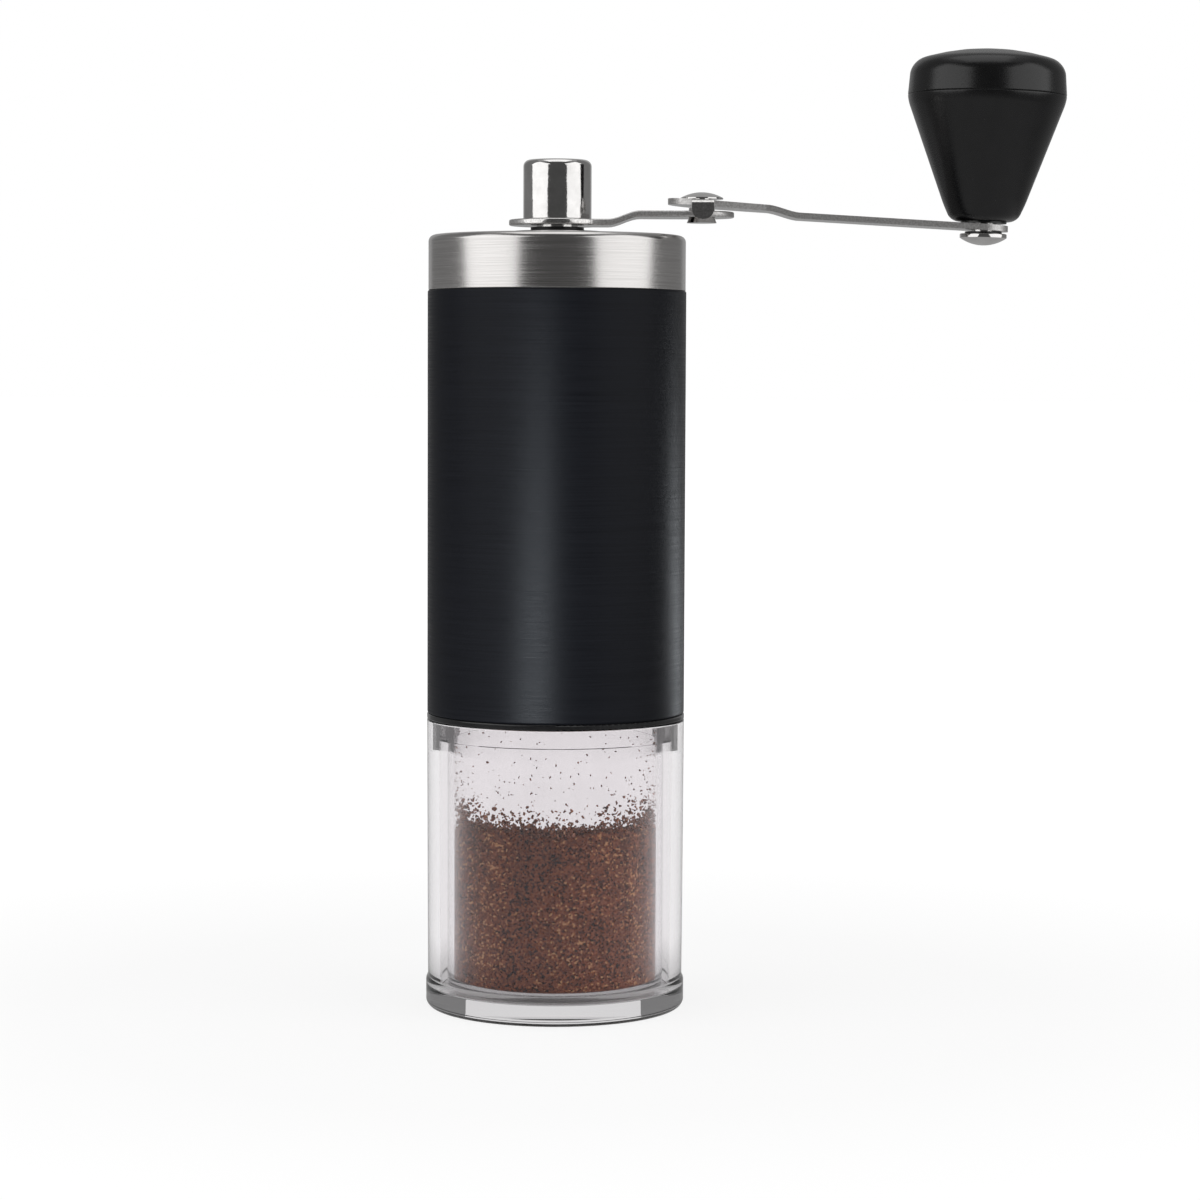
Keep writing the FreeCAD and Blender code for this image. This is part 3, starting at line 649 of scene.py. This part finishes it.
def crankHub():
    shape = hubShape
    low, high = boxOf("crank_hub")
    radius, stem = high.x, shape["stemRadius"]
    plateTop = boxOf("inner_arm")[0].z + armShape["thickness"]
    clipRadius = stem - shape["clipDepth"]
    piece = turnPiece("crankHub", [
        (0, high.z), (radius, high.z), (radius, plateTop), (stem, plateTop), (stem, shape["clipHigh"]),
        (clipRadius, shape["clipHigh"]), (clipRadius, shape["clipLow"]), (stem, shape["clipLow"]),
        (stem, low.z), (0, low.z)], shape["steps"])
    roundRing(radius, high.z, shape["edge"], "soft")
    roundRing(radius, plateTop, shape["footEdge"], "thin")
    bpy.ops.object.mode_set(mode="OBJECT")
    socket = hexagonTool(shape["socketFlats"], low.z - shape["edge"], shape["socketTop"])
    joinTool(piece, socket, "DIFFERENCE")
    finishPiece(piece, "crank", "polished_steel", "crank_hub")


def hexagonTool(flats, low, high):
    bpy.ops.object.select_all(action="DESELECT")
    bpy.ops.mesh.primitive_cylinder_add(vertices=6, radius=flats / math.sqrt(3), depth=high - low,
                                        location=(0, 0, (low + high) / 2))
    return bpy.context.object


# A strip drawn flat as an outline, bent along its length by height(x), then given its thickness
def bentStrip(piece, cuts, height):
    def column(vert):
        return round(vert.co.x, armShape["columnDigits"])
    closeMesh()
    bpy.ops.mesh.edge_face_add()
    for cut in cuts:
        bpy.ops.mesh.select_all(action="SELECT")
        bpy.ops.mesh.bisect(plane_co=(cut, 0, 0), plane_no=(1, 0, 0))
    for place in sorted({column(vert) for vert in bmesh.from_edit_mesh(piece.data).verts}):
        pick("verts", lambda vert: column(vert) == place)
        bpy.ops.transform.translate(value=(0, 0, height(place)))
    bpy.ops.mesh.select_mode(type="FACE")
    bpy.ops.mesh.select_all(action="SELECT")
    drawTo(0, 0, armShape["thickness"])
    closeMesh()
    bpy.ops.object.mode_set(mode="OBJECT")


def roundStrip(piece):
    useModifier(piece, "BEVEL", width=armShape["edge"], segments=roundSteps["thin"], limit_method="ANGLE",
                angle_limit=smoothAngle)


def easeBetween(x, start, end):
    share = min(1.0, max(0.0, (x - start) / (end - start)))
    return share * share * (3 - 2 * share)


def spread(start, end, count):
    return [start + (end - start) * step / count for step in range(count + 1)]


def innerArm():
    shape = armShape
    level = boxOf("inner_arm")[0].z
    foldX, half = shape["foldX"], shape["halfWidth"]
    neckX = math.sqrt(shape["plateRadius"] ** 2 - half ** 2)
    neckAngle = math.atan2(half, neckX)
    bend = shape["bendStart"], shape["bendEnd"]
    piece = startPoint("innerArm", neckX, -half, level)
    drawTo(foldX - neckX, 0, 0)
    bpy.ops.mesh.spin(steps=shape["endSteps"], angle=-math.pi, center=(foldX, 0, level), axis=(0, 0, 1))
    drawTo(neckX - foldX, 0, 0)
    bpy.ops.mesh.spin(steps=shape["plateSteps"], angle=-2 * (math.pi - neckAngle), center=(0, 0, level),
                      axis=(0, 0, 1))
    bentStrip(piece, spread(*bend, shape["bendLines"]), lambda x: shape["bendRise"] * easeBetween(x, *bend))
    roundStrip(piece)
    finishPiece(piece, "crank", "polished_steel", "inner_arm", look=armSteel)


rivetShape = {"headRadius": 0.0043, "headHeight": 0.0014, "rim": 0.00025, "shank": 0.002, "tailRadius": 0.003,
              "tailTop": 0.0026, "tailHeight": 0.001, "steps": 72}


def foldRivet():
    shape = rivetShape
    low, high = boxOf("fold_rivet")
    headLow = high.z - shape["headHeight"]
    tailHigh = low.z + shape["tailHeight"]
    shank, head = shape["shank"], shape["headRadius"]
    outline = [(0, low.z), (shape["tailRadius"], low.z), (shape["tailTop"], tailHigh), (shank, tailHigh),
               (shank, headLow), (head, headLow)]
    dome = domePoints(head, headLow + shape["rim"], shape["headHeight"] - shape["rim"])
    piece = turnPiece("foldRivet", outline + dome, shape["steps"])
    bpy.ops.mesh.select_all(action="SELECT")
    bpy.ops.transform.translate(value=(armShape["foldX"], 0, 0))
    finishPiece(piece, "crank", "polished_steel", "fold_rivet")


outerShape = {"eyeRadius": 0.0068, "eyeSlope": 0.07, "jogStart": 0.0125, "jogEnd": 0.0200, "jogDrop": 0.0016,
              "slope": 0.0556, "halfWidth": 0.005, "tipRadius": 0.0049, "bendLines": 10, "tipSteps": 36,
              "eyeSteps": 44}


def outerArm(foldLow, pinPlace):
    shape = outerShape
    foldX, jogStart, jogEnd = armShape["foldX"], shape["jogStart"], shape["jogEnd"]
    eyeStep = shape["eyeRadius"] - shape["halfWidth"]
    tipStep = shape["halfWidth"] - shape["tipRadius"]
    reach = pinPlace.x - foldX

    def height(x):
        along = x - foldX
        eye = -shape["eyeSlope"] * min(along, jogStart)
        jog = -shape["jogDrop"] * easeBetween(along, jogStart, jogEnd)
        return eye + jog - shape["slope"] * max(0.0, along - jogEnd)

    piece = startPoint("outerArm", foldX, -shape["eyeRadius"], foldLow)
    drawTo(jogStart, eyeStep, 0)
    drawTo(reach - jogStart, tipStep, 0)
    bpy.ops.mesh.spin(steps=shape["tipSteps"], angle=-math.pi, center=(pinPlace.x, 0, foldLow),
                      axis=(0, 0, 1))
    drawTo(jogStart - reach, tipStep, 0)
    drawTo(-jogStart, eyeStep, 0)
    bpy.ops.mesh.spin(steps=shape["eyeSteps"], angle=-math.pi, center=(foldX, 0, foldLow), axis=(0, 0, 1))
    bentStrip(piece, spread(foldX + jogStart, foldX + jogEnd, shape["bendLines"]), height)
    joinTool(piece, stopTab(foldLow), "UNION")
    roundStrip(piece)
    finishPiece(piece, "folding_arm", "polished_steel", "outer_arm", look=armSteel)


tabShape = {"halfWidth": 0.0022, "face": 0.0066, "thickness": 0.0014, "drop": 0.0039, "endRounding": 0.0019,
            "bend": 0.0011, "near": 0.0001}


# The stop tab is bent down over the inner arm's edge
def stopTab(foldLow):
    shape = tabShape
    top = foldLow + armShape["thickness"]
    middle = -shape["face"] - shape["thickness"] / 2
    bpy.ops.object.select_all(action="DESELECT")
    bpy.ops.mesh.primitive_cube_add(size=1)
    tab = bpy.context.object
    bpy.ops.object.mode_set(mode="EDIT")
    bpy.ops.transform.resize(value=(2 * shape["halfWidth"], shape["thickness"], shape["drop"]))
    bpy.ops.transform.translate(value=(armShape["foldX"], middle, top - shape["drop"] / 2))
    pick("edges", lambda edge: all(vert.co.z < top - shape["drop"] + shape["near"] for vert in edge.verts)
         and abs(edge.verts[0].co.y - edge.verts[1].co.y) > shape["thickness"] / 2)
    bpy.ops.mesh.bevel(offset=shape["endRounding"], segments=roundSteps["shoulder"], affect="EDGES")
    pick("edges", lambda edge: all(vert.co.z > top - shape["near"] and vert.co.y < middle
                                   for vert in edge.verts))
    bpy.ops.mesh.bevel(offset=shape["bend"], segments=roundSteps["plain"], affect="EDGES")
    bpy.ops.object.mode_set(mode="OBJECT")
    return tab


# Knob, turned upright about its pin with the arm's underside at height 0, then leaned and set in place
pinShape = {"radius": 0.0025, "headRadius": 0.0047, "rim": 0.0008, "dome": 0.0015, "headTop": -0.00058,
            "top": 0.02195, "rimEdge": 0.0002, "steps": 80}
knobShape = {"low": 0.00185, "bore": 0.00255, "footRadius": 0.0066, "footBevel": 0.00156,
             "waistRadius": 0.00815, "waistHeight": 0.00335, "shoulderRadius": 0.0157,
             "shoulderHeight": 0.02385, "seamRadius": 0.01585, "seamHeight": 0.02515, "seamEdge": 0.00022,
             "hollow": 0.01185, "hollowDepth": 0.004, "floorHeight": 0.018, "floorRadius": 0.0051,
             "waistBevel": 0.0012, "shoulderBevel": 0.0009, "lipRadius": 0.0046, "lip": 0.0004}
capShape = {"rimRadius": 0.01535, "rimHeight": 0.0065, "dome": 0.0027, "domeRings": 5, "rounding": 0.0024,
            "spigotWall": 0.0015, "spigotDepth": 0.004, "play": 0.00002}


def setOnPin(piece, pinPlace, lean):
    bpy.ops.object.mode_set(mode="OBJECT")
    piece.location = pinPlace
    piece.rotation_euler = (0, lean, 0)
    bpy.ops.object.transform_apply(location=True, rotation=True, scale=True)


def knobPin(pinPlace, lean):
    shape = pinShape
    radius, head, headTop = shape["radius"], shape["headRadius"], shape["headTop"]
    outline = [(0, shape["top"]), (radius, shape["top"]), (radius, headTop), (head, headTop)]
    dome = domePoints(head, headTop - shape["rim"], -shape["dome"])
    piece = turnPiece("knobPin", outline + dome, shape["steps"])
    roundRing(head, headTop, shape["rimEdge"], "thin")
    setOnPin(piece, pinPlace, lean)
    finishPiece(piece, "folding_arm", "polished_steel", "knob_pin")


def knobBody(pinPlace, lean):
    shape = knobShape
    low = shape["low"]
    lipLow = low - shape["lip"]
    waist = low + shape["waistHeight"]
    shoulder = low + shape["shoulderHeight"]
    seam = low + shape["seamHeight"]
    floor = low + shape["floorHeight"]
    piece = turnPiece("knobBody", [
        (shape["bore"], lipLow), (shape["lipRadius"], lipLow), (shape["lipRadius"], low),
        (shape["footRadius"], low), (shape["waistRadius"], waist), (shape["shoulderRadius"], shoulder),
        (shape["seamRadius"], seam), (shape["hollow"], seam), (shape["hollow"], seam - shape["hollowDepth"]),
        (shape["floorRadius"], floor), (shape["bore"], floor), (shape["bore"], lipLow)])
    roundRing(shape["footRadius"], low, shape["footBevel"], "soft")
    roundRing(shape["waistRadius"], waist, shape["waistBevel"])
    roundRing(shape["shoulderRadius"], shoulder, shape["shoulderBevel"], "shoulder")
    roundRing(shape["seamRadius"], seam, shape["seamEdge"], "seam")
    setOnPin(piece, pinPlace, lean)
    finishPiece(piece, "knob", "black_satin_plastic", "knob_body")


def knobCap(pinPlace, lean):
    shape = capShape
    seam = knobShape["low"] + knobShape["seamHeight"]
    rimTop = seam + shape["rimHeight"]
    spigot = knobShape["hollow"] - shape["play"]
    inside = spigot - shape["spigotWall"]
    spigotLow = seam - shape["spigotDepth"]
    outline = [(0, seam), (inside, seam), (inside, spigotLow), (spigot, spigotLow), (spigot, seam),
               (knobShape["seamRadius"], seam)]
    dome = domePoints(shape["rimRadius"], rimTop, shape["dome"], shape["domeRings"])
    piece = turnPiece("knobCap", outline + dome)
    roundRing(shape["rimRadius"], rimTop, shape["rounding"], "cap")
    roundRing(knobShape["seamRadius"], seam, knobShape["seamEdge"], "seam")
    setOnPin(piece, pinPlace, lean)
    finishPiece(piece, "knob", "black_satin_plastic", "knob_cap")


# The burr spring, copied from its node with its doubled points merged
def burrSpring():
    bpy.ops.object.select_all(action="DESELECT")
    piece = bpy.data.objects.new("burrSpring", nodes["burr_spring"].data.copy())
    piece.data.name = "burrSpring"
    bpy.context.scene.collection.objects.link(piece)
    piece.select_set(True)
    bpy.context.view_layer.objects.active = piece
    bpy.ops.object.mode_set(mode="EDIT")
    closeMesh()
    bpy.ops.object.mode_set(mode="OBJECT")
    bpy.ops.object.shade_smooth_by_angle(angle=smoothAngle)
    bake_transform(piece)
    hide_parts("burr_spring")
    print("piece:", piece.name, len(piece.data.polygons), "faces")


pinPlace = Vector(joints["knob_spin"]["pos_m"])
lean = math.asin(joints["knob_spin"]["axis"][0])
foldLow = joints["arm_fold"]["pos_m"][2]
outerCup()
innerCup()
groundsBed()
looseGrounds()
tube = bodyTube()
lidShell()
crankHub()
innerArm()
foldRivet()
outerArm(foldLow, pinPlace)
knobPin(pinPlace, lean)
knobBody(pinPlace, lean)
knobCap(pinPlace, lean)
burrSpring()
print("pieces modelled")


# Camera, fitted to the photograph's rims: it looks along +Y, a little down, with a small roll
cameraSetup = {"side": 0.0089, "distance": 0.673, "height": 0.1285, "pitch": 3.905, "roll": 0.25,
               "lens": 99.95, "sensor": 36.0, "clip": 0.01}


def addCamera():
    setup = cameraSetup
    data = bpy.data.cameras.new("camera")
    data.sensor_width = setup["sensor"]
    data.lens = setup["lens"]
    data.clip_start = setup["clip"]
    camera = bpy.data.objects.new("camera", data)
    bpy.context.scene.collection.objects.link(camera)
    place = Matrix.Translation((setup["side"], -setup["distance"], setup["height"]))
    turn = Matrix.Rotation(math.radians(90 - setup["pitch"]), 4, "X")
    roll = Matrix.Rotation(math.radians(setup["roll"]), 4, "Z")
    camera.matrix_world = place @ turn @ roll
    bpy.context.scene.camera = camera


# Stage: a pale floor, a white surround and a grey screen that the camera sees only in or through the object.
# Later rays come over earlier ones, because a ray through clear walls counts as glossy too.
seenBy = ("Is Glossy Ray", "Is Transmission Ray", "Is Camera Ray")
floorLook = {"size": 30.0, "height": -0.0003, "paper": 0.55, "roughness": 0.95, "shadowed": 0.22,
             "Is Glossy Ray": (0.24, 0.24, 0.10, 0.50),     # strength near and far, and the two distances
             # Seen through the clear cup, the floor glows dimmer within a few centimetres of the object: a
             # painted shadow under the cup
             "Is Transmission Ray": (0.34, 0.85, 0.03, 0.09),
             "Is Camera Ray": (0.80, 1.0, 0.10, 0.50)}


# White where it is seen, with enough plain paper in it to keep the object's shadow, and a painted shadow
# round the object's foot where the floor is seen through the clear cup
def floorPaper():
    material, tree, shader = newMaterial("floorPaper")
    shader.inputs["Base Color"].default_value = (floorLook["paper"],) * 3 + (1,)
    shader.inputs["Roughness"].default_value = floorLook["roughness"]
    shader.inputs["Specular IOR Level"].default_value = 0.0
    away = addNode(tree, "ShaderNodeVectorMath", operation="LENGTH")
    tree.links.new(objectCoords(tree), away.inputs[0])
    paper = addNode(tree, "ShaderNodeBsdfDiffuse")
    paper.inputs["Color"].default_value = (floorLook["shadowed"],) * 3 + (1,)
    surface = shader.outputs["BSDF"]
    for ray in seenBy:
        emission = addNode(tree, "ShaderNodeEmission")
        tree.links.new(remap(tree, away.outputs["Value"], *floorLook[ray]), emission.inputs["Strength"])
        both = addNode(tree, "ShaderNodeAddShader")
        tree.links.new(emission.outputs["Emission"], both.inputs[0])
        tree.links.new(paper.outputs["BSDF"], both.inputs[1])
        surface = swapForRay(tree, ray, surface, both.outputs["Shader"])
    tree.links.new(surface, tree.nodes["Material Output"].inputs["Surface"])
    return material


def addFloor():
    bpy.ops.object.select_all(action="DESELECT")
    bpy.ops.mesh.primitive_plane_add(size=floorLook["size"], location=(0, 0, floorLook["height"]))
    plane = bpy.context.object
    plane.name = "floor"
    plane.data.materials.append(floorPaper())


screenLook = {"radius": 1.7, "height": 2.4, "sides": 72, "open": math.radians(28), "apron": 0.45,
              "lift": 0.001, "centre": 0.08, "side": 0.21, "fade": (-0.85, 0.2)}


# The screen is darkest in front of the object and paler towards its ends
def screenCloth():
    material, tree = newMaterial("screenCloth")[:2]
    fade = [share * screenLook["radius"] for share in screenLook["fade"]]
    glow = addNode(tree, "ShaderNodeEmission")
    depth = splitCoords(tree, "Object")["Y"]
    tree.links.new(remap(tree, depth, screenLook["centre"], screenLook["side"], *fade),
                   glow.inputs["Strength"])
    tree.links.new(glow.outputs["Emission"], tree.nodes["Material Output"].inputs["Surface"])
    return material


# A round wall with an apron on the floor, open behind the object
def addScreen():
    look = screenLook
    bpy.ops.object.select_all(action="DESELECT")
    bpy.ops.mesh.primitive_circle_add(vertices=look["sides"], radius=look["radius"])
    screen = bpy.context.object
    screen.name = "screen"
    bpy.ops.object.mode_set(mode="EDIT")
    bpy.ops.mesh.select_mode(type="EDGE")
    bpy.ops.mesh.select_all(action="SELECT")
    drawTo(0, 0, look["height"])
    pick("edges", lambda edge: all(vert.co.z < look["lift"] for vert in edge.verts))
    drawTo(0, 0, look["lift"])
    share = look["apron"] / look["radius"]
    bpy.ops.transform.resize(value=(share, share, 1))

    def behind(face):
        middle = face.calc_center_median()
        return abs(math.atan2(middle.x, middle.y)) < look["open"]

    pick("faces", behind)
    bpy.ops.mesh.delete(type="FACE")
    bpy.ops.object.mode_set(mode="OBJECT")
    screen.data.materials.append(screenCloth())
    screen.visible_camera = False
    screen.visible_diffuse = False
    screen.visible_shadow = False


surround = {"light": 0.4, "Is Glossy Ray": 0.4, "Is Transmission Ray": 0.75, "Is Camera Ray": 1.0}


def addSurround():
    world = bpy.data.worlds.new("surround")
    bpy.context.scene.world = world
    world.use_nodes = True
    tree = world.node_tree
    background = tree.nodes["Background"]
    background.inputs["Color"].default_value = (1, 1, 1, 1)
    background.inputs["Strength"].default_value = surround["light"]
    surface = background.outputs["Background"]
    for ray in seenBy:
        white = addNode(tree, "ShaderNodeBackground")
        white.inputs["Color"].default_value = (1, 1, 1, 1)
        white.inputs["Strength"].default_value = surround[ray]
        surface = swapForRay(tree, ray, surface, white.outputs["Background"])
    tree.links.new(surface, tree.nodes["World Output"].inputs["Surface"])


# Lamps: softboxes on both sides and above, and two strips that light the housing tube alone
lampAim = Vector((0, 0, 0.1))
softboxes = {
    "softboxLeft": {"azimuth": -61, "distance": 1.1, "height": 0.42, "size": (1.0, 1.3), "power": 5.4},
    "softboxRight": {"azimuth": 62, "distance": 1.1, "height": 0.42, "size": (1.05, 1.3), "power": 5.4},
    "overhead": {"azimuth": 0, "distance": 0.1, "height": 1.3, "size": (1.0, 1.0), "power": 3},
}
tubeStrips = {
    "housingStrip": {"azimuth": -19, "distance": 0.36, "height": 0.03, "size": (0.19, 0.05), "power": 1.15,
                     "colour": (0.86, 0.93, 1.0)},
    "rimStrip": {"azimuth": 130, "distance": 0.36, "height": 0.06, "size": (0.06, 0.14), "power": 0.14,
                 "colour": (0.9, 0.95, 1.0)},
}


def addLamp(name, azimuth, distance, height, size, power, colour=(1, 1, 1)):
    data = bpy.data.lights.new(name, "AREA")
    data.shape = "RECTANGLE"
    data.size, data.size_y = size
    data.energy = power
    data.color = colour
    lamp = bpy.data.objects.new(name, data)
    bpy.context.scene.collection.objects.link(lamp)
    angle = math.radians(azimuth)
    lamp.location = (distance * math.sin(angle), -distance * math.cos(angle), height)
    lamp.rotation_euler = (lampAim - lamp.location).to_track_quat("-Z", "Z").to_euler()
    lamp.visible_camera = False
    return lamp


addCamera()
addFloor()
addScreen()
for name, setup in softboxes.items():
    addLamp(name, **setup)
stripGroup = bpy.data.collections.new("stripGroup")
stripGroup.objects.link(tube)
for name, setup in tubeStrips.items():
    addLamp(name, **setup).light_linking.receiver_collection = stripGroup
addSurround()
bpy.context.scene.view_settings.view_transform = "Standard"
print("stage and lamps set")
